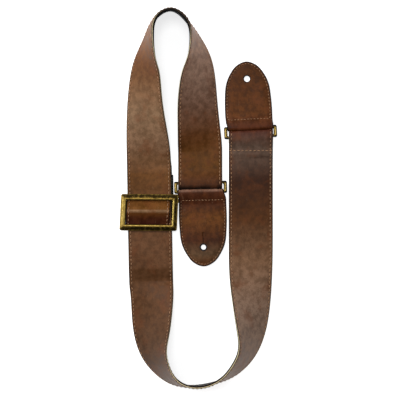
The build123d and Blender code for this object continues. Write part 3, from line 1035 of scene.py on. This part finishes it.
class Tab:
    """The plan outline of an end tab, and distances from its edge."""

    def __init__(self, lay, length, shift, hole_y, hole, slit, fullness):
        self.lay = lay
        self.length = length
        self.shift = shift
        self.hole_y = hole_y
        self.hole = hole
        self.slit = slit
        right = tab_half_widths(length, fullness)
        mirrored = [(y, -x) for y, x in reversed(right[:-1])]
        both = smooth_curve(right + mirrored, 241)
        self.outline = both[:, ::-1]
        half = self.outline[: len(both) // 2 + 1]
        order = np.argsort(half[:, 1])
        self.reach = half[order, 1]
        self.half = half[order, 0]

    def half_width(self, y):
        outline = np.interp(y, self.reach, self.half)
        return tab_neck_half + (outline - tab_neck_half) * smooth_step(y, 0.0040, 0.0090)

    def edge_distance(self, x, y):
        """Shortest distance from points to the cut edge, where x is measured from the tab's middle."""
        spots = np.stack([np.ravel(x), np.ravel(y)], axis=1)
        line = np.vstack([[tab_neck_half, -0.03], self.outline, [-tab_neck_half, -0.03]])
        best = np.full(len(spots), 1.0)
        for start, end in zip(line, line[1:]):
            run = end - start
            t = np.clip(((spots - start) @ run) / (run @ run), 0.0, 1.0)
            gap = spots - start - t[:, None] * run
            best = np.minimum(best, np.hypot(gap[:, 0], gap[:, 1]))
        return best.reshape(np.shape(x))


def tab_surface(distance, x, y, tab):
    """Height of the tab's face over its plain ply: rounded rim, sewn groove and a soft swell inside."""
    rim = -0.00055 * (1 - np.clip(distance / 0.0007, 0.0, 1.0)) ** 2
    groove = -0.00022 * np.exp(-(((distance - tab_stitch_inset) / 0.0007) ** 2))
    swell = 0.00035 * smooth_step(distance, 0.0026, 0.0090)
    from_hole = np.hypot(x, y - tab.hole_y)
    dish = -0.00045 * np.exp(-((from_hole / (tab.hole * 0.9)) ** 2))
    cross = -0.00030 * np.exp(-(((y - cross_row_y) / 0.0007) ** 2)) * (distance > tab_stitch_inset)
    wave = 0.00016 * np.sin(x * 190.0 + 1.3) * np.sin(y * 120.0 + tab.length * 300.0)
    return rim + groove + swell + cross + dish + wave * smooth_step(distance, 0.003, 0.01)


cover_low = tab_ply + 0.00005
cross_row_y = bar_offset + 0.0085
cover_slope = ((bar_offset + 0.0002, ring_z + wrap_radius), (bar_offset + 0.0150, cover_low))
columns_half = np.sin(np.linspace(0.0, math.pi / 2, 25))
tab_columns = np.concatenate([-columns_half[::-1], columns_half[1:]])


def cut_through(piece, tab, slit):
    """Cuts the pin hole out of a ply, with a slit of a given length below it if that is not 0."""
    hole_y = tab.hole_y
    radius = tab.hole / 2
    gap = math.asin(slit_half / radius)
    outline = []
    for angle in np.linspace(-math.pi / 2 + gap, 3 * math.pi / 2 - gap, 40):
        outline.append((radius * math.cos(angle), hole_y + radius * math.sin(angle)))
    if slit:
        outline.append((-slit_half, hole_y - radius - slit))
        outline.append((slit_half, hole_y - radius - slit))
    count = len(outline)
    points = [tab.lay.at(x + tab.shift, y, z) for z in (-0.01, 0.02) for x, y in outline]
    faces = [tuple(range(count)), tuple(range(count, 2 * count))]
    faces += [(i, (i + 1) % count, count + (i + 1) % count, count + i) for i in range(count)]
    cutter = add_piece("cutter", points, faces, [])
    change = piece.modifiers.new("hole", "BOOLEAN")
    change.operation = "DIFFERENCE"
    change.solver = "EXACT"
    change.object = cutter
    graph = bpy.context.evaluated_depsgraph_get()
    cut = bpy.data.meshes.new_from_object(piece.evaluated_get(graph))
    piece.modifiers.clear()
    piece.data = cut
    bpy.data.objects.remove(cutter)


def ply_piece(name, tab, side_view, low_face, material, relief_share):
    """One ply of a tab from its side view: the ply's inner surface, from the fold's end to the tip."""
    view = np.array(side_view)
    steps = unit(np.gradient(view, axis=0))
    run = lengths_along(view)
    rows, columns = len(view), len(tab_columns)
    half = tab.half_width(view[:, 0])
    flat_part = (view[:, 0] > 0.0110) & (view[:, 1] >= low_face - 1e-6)
    half = np.where(flat_part, half, tab_neck_half + (half - tab_neck_half) * (view[:, 1] >= ring_z))
    shift = tab.shift * smooth_step(view[:, 0], 0.005, 0.014) * (view[:, 1] >= low_face - 1e-6)
    x = half[:, None] * tab_columns[None, :]
    y = np.repeat(view[:, 0][:, None], columns, axis=1)
    distance = tab.edge_distance(x, y)
    straight = half[:, None] - np.abs(x)
    distance = np.where(y < 0.012, straight, distance)
    relief = tab_surface(distance, x, y, tab) * relief_share
    if low_face > 0:
        relief = relief * smooth_step(run, 0.011, 0.018)[:, None]
    normal = np.stack([-steps[:, 1], steps[:, 0]], axis=1)
    points, uvs, edge = [], [], []
    for layer, height in (("face", tab_ply), ("back", 0.0)):
        for i in range(rows):
            for j in range(columns):
                offset = height + (relief[i, j] if layer == "face" else -min(0.0, relief[i, j]) * 0.4)
                along, level = view[i] + normal[i] * offset
                points.append(tab.lay.at(x[i, j] + shift[i], along, level))
                uvs.append((run[i], x[i, j] + (0.2 if layer == "back" else 0.0)))
                edge.append(distance[i, j])
    faces, face_index = sheet_faces(rows, columns, back_material=2)
    piece = add_piece(name, points, faces, [material, tab_rim, flesh], face_index, uvs, edge)
    tidy = bmesh.new()
    tidy.from_mesh(piece.data)
    bmesh.ops.remove_doubles(tidy, verts=tidy.verts, dist=0.000004)
    bmesh.ops.dissolve_degenerate(tidy, dist=0.000004, edges=tidy.edges)
    tidy.to_mesh(piece.data)
    tidy.free()
    return piece


def tab_side_view(tab):
    """Inner surface of the cover: up from the fold-back under the bar, round it, down and to the tip."""
    view = [(bar_offset + fold_back, tab_ply)]
    view += list(reversed(ease((bar_offset, ring_z - wrap_radius), (bar_offset + 0.0090, tab_ply), 10)))
    view += arc((bar_offset, ring_z), wrap_radius, 270, 90, 16)
    view += ease(*cover_slope, 16)
    start = cover_slope[1][0]
    share = np.sin(np.linspace(0.0, math.pi / 2, 74))[1:]
    view += [(start + (tab.length - 0.00002 - start) * s, cover_low) for s in share]
    clean = [view[0]]
    for point in view[1:]:
        if math.dist(point, clean[-1]) > 1e-5:
            clean.append(point)
    return clean


def liner_side_view(tab):
    start = bar_offset + fold_back
    share = np.sin(np.linspace(0.0, math.pi / 2, 60))
    return [(start + (tab.length - 0.00002 - start) * s, 0.0) for s in share]


def tab_stitch_row(tab):
    """A closed D of stitches: across near the ring and round the tab inside its edge."""
    steps = unit(np.gradient(tab.outline, axis=0))
    inner = tab.outline + np.stack([-steps[:, 1], steps[:, 0]], axis=1) * tab_stitch_inset
    keep = inner[inner[:, 1] > cross_row_y + 0.0035]
    left_x = keep[-1, 0]
    corner = [
        (left_x, cross_row_y + 0.0022),
        (left_x + 0.0006, cross_row_y + 0.0008),
        (left_x + 0.0022, cross_row_y),
    ]
    corner_right = [(-x, y) for x, y in reversed(corner)]
    loop = np.vstack([keep, corner, corner_right, keep[:1]])
    lengths = lengths_along(loop)
    count = int(lengths[-1] / tab_stitch_pitch)
    middle = (np.arange(count) + 0.5) * lengths[-1] / count
    x, y = sample(loop, lengths, middle).T
    run = unit(sample(loop, lengths, middle + 0.0009) - sample(loop, lengths, middle - 0.0009))
    rise_y, rise_z = zip(*reversed(ease(cover_slope[1], cover_slope[0], 14)))
    height = np.interp(y, rise_y, rise_z)
    slope = (np.interp(y + 0.0004, rise_y, rise_z) - np.interp(y - 0.0004, rise_y, rise_z)) / 0.0008
    relief = tab_surface(tab.edge_distance(x, y), x, y, tab)
    centres, forwards, normals = [], [], []
    for i in range(count):
        normal = unit(tab.lay.y_dir * -slope[i] + up)
        forward = tab.lay.x_dir * run[i, 0] + tab.lay.y_dir * run[i, 1]
        forwards.append(unit(forward - normal * (forward @ normal)))
        foot = tab.lay.at(x[i] + tab.shift, y[i], height[i])
        centres.append(foot + normal * (tab_ply + relief[i] + 0.00008))
        normals.append(normal)
    return np.array(centres), np.array(forwards), np.array(normals)


def hole_rim(name, tab):
    """The burnished wall of the pin hole, with a rounded lip on each side."""
    radius = tab.hole / 2
    top = cover_low + tab_ply - 0.0001
    section = [
        (radius + 0.0013, top - 0.00020),
        (radius + 0.0009, top + 0.00010),
        (radius + 0.0005, top + 0.00016),
        (radius + 0.0001, top + 0.00006),
        (radius - hole_lip * 0.8, top - 0.0003),
        (radius - hole_lip, top / 2),
        (radius - hole_lip * 0.8, 0.0004),
        (radius + 0.0002, 0.00012),
        (radius + 0.0007, 0.0005),
        (radius + 0.0008, top / 2),
    ]
    points, uvs = [], []
    angles = np.linspace(0.0, 2 * math.pi, 48, endpoint=False)
    for angle in angles:
        for number, (reach, height) in enumerate(section):
            x = tab.shift + reach * math.cos(angle)
            points.append(tab.lay.at(x, tab.hole_y + reach * math.sin(angle), height))
            uvs.append((angle * radius, number * 0.0006))
    faces = grid_faces(len(angles), len(section), closed_rows=True, closed_columns=True)
    return add_piece(name, points, faces, [tab_rim], uvs=uvs)


tabs = {
    "a": Tab(ring_a_plane, 0.0816, -0.0010, hole_y=0.0616, hole=0.0084, slit=0.0, fullness=1.015),
    "b": Tab(ring_b_plane, 0.0913, -0.0019, hole_y=0.0691, hole=0.0073, slit=0.0140, fullness=1.030),
}
for letter, tab in tabs.items():
    body = "tab_" + letter
    cover = ply_piece(body + "_leather", tab, tab_side_view(tab), cover_low, tab_grains[letter], 1.0)
    cut_through(cover, tab, tab.slit)
    place(cover, body, "tab_leather", body + "_cover")
    liner = ply_piece(body + "_back_leather", tab, liner_side_view(tab), 0.0, tab_grains[letter], 0.1)
    cut_through(liner, tab, 0.0)
    place(liner, body, "tab_leather", body + "_liner")
    row = stitch_mesh(body + "_stitches", tab_stitch_row(tab), 0.0028, 0.00034, 0.00024)
    place(row, body, "thread", body + "_stitching")
    place(hole_rim(body + "_hole_rim", tab), body, "tab_leather")


# ---------------------------------------------------------------- adjusting slide
frame_outer = rounded_outline(slide_length, slide_height, 0.0024, 7, (14, 10))
frame_inner = rounded_outline(slide_window_length, slide_window_height, 0.0002, 7, (14, 10))
# share of the bar's width from the outside, height over the frame's underside, and how bright it is: wear
# with painted highlight and reflection, brightest on the inner ridge
frame_section = [
    (0.00, 0.0005, 0.10),
    (0.00, 0.0012, 0.55),
    (0.03, 0.0016, 0.75),
    (0.09, 0.0018, 0.60),
    (0.14, 0.0018, 0.35),
    (0.30, 0.0024, 0.30),
    (0.48, 0.0029, 0.35),
    (0.60, 0.0032, 0.60),
    (0.66, 0.0034, 0.95),
    (0.80, 0.0034, 1.00),
    (0.88, 0.0032, 0.85),
    (0.97, 0.0022, 0.40),
    (1.00, 0.0014, 0.10),
    (1.00, 0.0003, 0.05),
    (0.96, 0.0000, 0.30),
    (0.90, 0.0004, 0.10),
    (0.78, 0.0018, 0.05),
    (0.40, 0.0014, 0.05),
    (0.12, 0.0004, 0.10),
    (0.05, 0.0001, 0.30),
]


def frame_highlight_and_wear(number, x, y):
    """Painted reflection with some wear: the left bar is bright all over, and the others mostly along their
    inner ridge.
    """
    wear_and_highlight = frame_section[number][2]
    beside = abs(x) - slide_window_length / 2 > abs(y) - slide_window_height / 2
    if beside and x < 0:
        return 0.74 if number <= 8 else wear_and_highlight * 0.75
    if beside:
        return wear_and_highlight * (0.70 if 5 <= number <= 7 else 1.25)
    return wear_and_highlight * (0.57 if number <= 7 else (0.48 if y > 0 else 0.68))


slide_frame = loop_piece(
    "slide_frame",
    frame_plane,
    frame_outer,
    frame_inner,
    [(share, slide_bottom + height) for share, height, _ in frame_section],
    frame_highlight_and_wear,
    slide_brass,
)


def rounded_block(name, centre, size, radius):
    """A brass block of the slide with rounded edges, lofted from rounded outlines."""
    levels = []
    for angle in np.linspace(0.0, math.pi / 2, 4):
        levels.append((-size[2] / 2 + radius * (1 - math.cos(angle)), radius * (1 - math.sin(angle))))
    levels += [(-height, inset) for height, inset in reversed(levels)]
    points, uvs = [], []
    for height, inset in levels:
        corner = max(radius - inset, 0.0001)
        ring = rounded_outline(size[0] - 2 * inset, size[1] - 2 * inset, corner, 3, (6, 4))
        for number, (x, y) in enumerate(ring):
            points.append(slide_plane.at(centre[0] + x, centre[1] + y, centre[2] + height))
            uvs.append((number * 0.001, height))
    count = len(points) // len(levels)
    faces = grid_faces(len(levels), count, closed_columns=True)
    faces += [tuple(range(count)), tuple(range(len(points) - count, len(points)))]
    return add_piece(name, points, faces, [slide_brass], uvs=uvs, edge=[0.3] * len(points))


def join(pieces):
    """Several meshes made into the first one."""
    bpy.ops.object.select_all(action="DESELECT")
    for piece in pieces:
        piece.select_set(True)
    bpy.context.view_layer.objects.active = pieces[0]
    bpy.ops.object.join()
    return pieces[0]


lug_size = (0.0046, 0.0080, 0.0070)
lugs = []
for side in (-1, 1):
    lug_centre = (side * lug_spacing / 2, 0.0, 0.0047)
    lugs.append(rounded_block("slide_lug", lug_centre, lug_size, 0.0008))
slide_frame = join([slide_frame, *lugs])
place(slide_frame, "slide", "antique_brass", "slider_frame")
bar_centre = (0.0, 0.0, drop_bar_bottom + drop_bar_thickness / 2)
bar_size = (drop_bar_length, drop_bar_width, drop_bar_thickness)
slide_bar = rounded_block("slide_drop_bar", bar_centre, bar_size, 0.0006)
place(slide_bar, "slide", "antique_brass", "slider_bar")

# The end of the return webbing: down the limb, round the slide's bar and back on itself.
half_web = webbing_thickness / 2
loop_low = drop_bar_bottom - 0.0001 - half_web
loop_high = drop_bar_bottom + drop_bar_thickness + 0.0001 + half_web
loop_middle = (loop_low + loop_high) / 2
loop_turn = (loop_high - loop_low) / 2
loop_view = [(0.0520, half_web), (0.0200, half_web)]
loop_view += ease((0.0140, half_web), (0.0026, loop_low), 8)
loop_view += [(-0.0026, loop_low)]
loop_view += arc((-0.0026, loop_middle), loop_turn, 270, 90, 12)
loop_view += ease((0.0026, loop_high), (0.0140, 3 * half_web + layer_gap), 8)
loop_view += [(0.0200, 3 * half_web + layer_gap), (tail_end, 3 * half_web + layer_gap)]
loop_track = limb_track(left_limb, loop_view, -1)
loop_along = loop_track.along
loop_shift = 0.0008 + 0.0007 * smooth_step(loop_along, 0.0, 0.030)
loop_shift += 0.0008 * smooth_step(loop_along, loop_along[-1] - 0.045, loop_along[-1] - 0.036)
loop_profile = strip_profile(strap_width, -half_web, half_web)
end_loop = strip_piece("slide_end_loop", loop_track, loop_profile, all_webbing, shift=loop_shift)
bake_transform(end_loop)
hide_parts("slider_end_loop")

loop_spots = [(x, y) for y in (0.0220, 0.0380) for x in (np.arange(11) - 5) * 0.0043]
loop_centres = [left_limb.at(x, y, double_rest) for x, y in loop_spots]
loop_stitches = (loop_centres, [left_limb.x_dir] * len(loop_spots), [up] * len(loop_spots))
loop_row = stitch_mesh("slide_loop_stitches", loop_stitches, 0.0034, 0.0004, 0.0003, thread_dark)
place(loop_row, "slide", "thread", "slider_loop_stitching")

# The leather where it climbs over the slide's bar inside the frame.
hump_side = [
    (-0.0158, 0.00755),
    (-0.0120, 0.00800),
    (-0.0070, 0.00900),
    (-0.0025, 0.01000),
    (0.0002, 0.01045),
    (0.0020, 0.01058),
    (0.0036, 0.01040),
    (0.0060, 0.00990),
    (0.0105, 0.00880),
    (0.0158, 0.00765),
]
hump_line = smooth_curve(hump_side, 60)
hump_run = lengths_along(hump_line)
hump_width = 0.0504
hump_shift = -0.0011
hump_base = 0.00735


def hump_piece():
    """The crest of leather: its curved face, a flat underside and the cut sides between them."""
    half = half_profile(hump_width)
    across = np.array(half + [hump_width - distance for distance in reversed(half[:-1])])
    distance = np.minimum(across, hump_width - across)
    drop = face_drop(distance, 0.0005, 0.00016)
    points, uvs = [], []
    for layer in (0, 1):
        for run, (y, z) in zip(hump_run, hump_line):
            for j, side in enumerate(across):
                height = z - drop[j] if layer == 0 else hump_base
                points.append(frame_plane.at(side - hump_width / 2 + hump_shift, y, height))
                uvs.append((run, side + layer * 0.2))
    faces, face_index = sheet_faces(len(hump_line), len(across), back_material=0)
    edge = np.tile(distance, 2 * len(hump_line))
    return add_piece("slide_leather_hump", points, faces, [hump_grain, strap_raw], face_index, uvs, edge)


def hump_rows(count=7):
    """Stitches along both edges of the crest: their centres, directions and normals."""
    middles = (np.arange(count) + 0.5) / count * hump_run[-1]
    steps = unit(sample(hump_line, hump_run, middles + 0.001) - sample(hump_line, hump_run, middles - 0.001))
    centres, forwards, normals = [], [], []
    for side in (stitch_inset, hump_width - stitch_inset):
        for (y, z), (run, rise) in zip(sample(hump_line, hump_run, middles), steps):
            centres.append(frame_plane.at(side - hump_width / 2 + hump_shift, y, z - 0.0001))
            forwards.append(frame_plane.y_dir * run + up * rise)
            normals.append(frame_plane.y_dir * -rise + up * run)
    return centres, forwards, normals


place(hump_piece(), "slide", "strap_leather")
hump_row = stitch_mesh("slide_hump_stitches", hump_rows(), strap_stitch, strap_thread, strap_stitch_rise)
place(hump_row, "slide", "thread")


# ---------------------------------------------------------------- floor, light and camera
def floor_piece():
    material, tree, shader = start_material("pale_floor")
    spot = node(tree, "ShaderNodeTexCoord").outputs["Object"]
    speckle = noise(tree, spot, 40.0, roughness=0.55)
    base = mix(tree, mask(tree, speckle, 0.3, 0.7), (0.93, 0.93, 0.93, 1.0), (0.95, 0.95, 0.95, 1.0))
    look = {"Base Color": base, "Roughness": 0.9, "Specular IOR Level": 0.1}
    glow = {"Emission Color": (1.0, 1.0, 1.0, 1.0), "Emission Strength": 0.75}
    set_inputs(tree, shader, {**look, **glow})
    size = 6.0
    points = [(-size, -size, 0.0), (size, -size, 0.0), (size, size, 0.0), (-size, size, 0.0)]
    return add_piece("floor", points, [(0, 1, 2, 3)], [material])


floor_piece()


def area_light(name, location, size, power):
    """A square light aimed at the middle of the table."""
    data = bpy.data.lights.new(name, "AREA")
    data.shape = "SQUARE"
    data.size = size
    data.energy = power
    light = bpy.data.objects.new(name, data)
    light.location = location
    x, y, height = location
    light.rotation_euler = (math.atan2(math.hypot(x, y), height), 0.0, math.atan2(-y, -x) - math.pi / 2)
    bpy.context.scene.collection.objects.link(light)


area_light("key", (-1.2, 1.6, 1.5), 0.7, 30.0)
area_light("side", (-2.2, 0.2, 1.1), 0.6, 11.0)
area_light("overhead", (-0.2, 0.5, 2.4), 0.7, 12.0)

world = bpy.data.worlds.new("studio")
world.use_nodes = True
world.node_tree.nodes["Background"].inputs[0].default_value = (0.93, 0.96, 1.0, 1.0)
world.node_tree.nodes["Background"].inputs[1].default_value = 0.22
bpy.context.scene.world = world
bpy.context.scene.view_settings.view_transform = "Standard"

camera_height = 1.6
view_width = 0.4620
camera_data = bpy.data.cameras.new("camera")
camera_data.angle = 2 * math.atan(view_width / 2 / camera_height)
camera_data.clip_end = 20.0
camera = bpy.data.objects.new("camera", camera_data)
camera.location = (0.00151, -0.00214, camera_height)
bpy.context.scene.collection.objects.link(camera)
bpy.context.scene.camera = camera
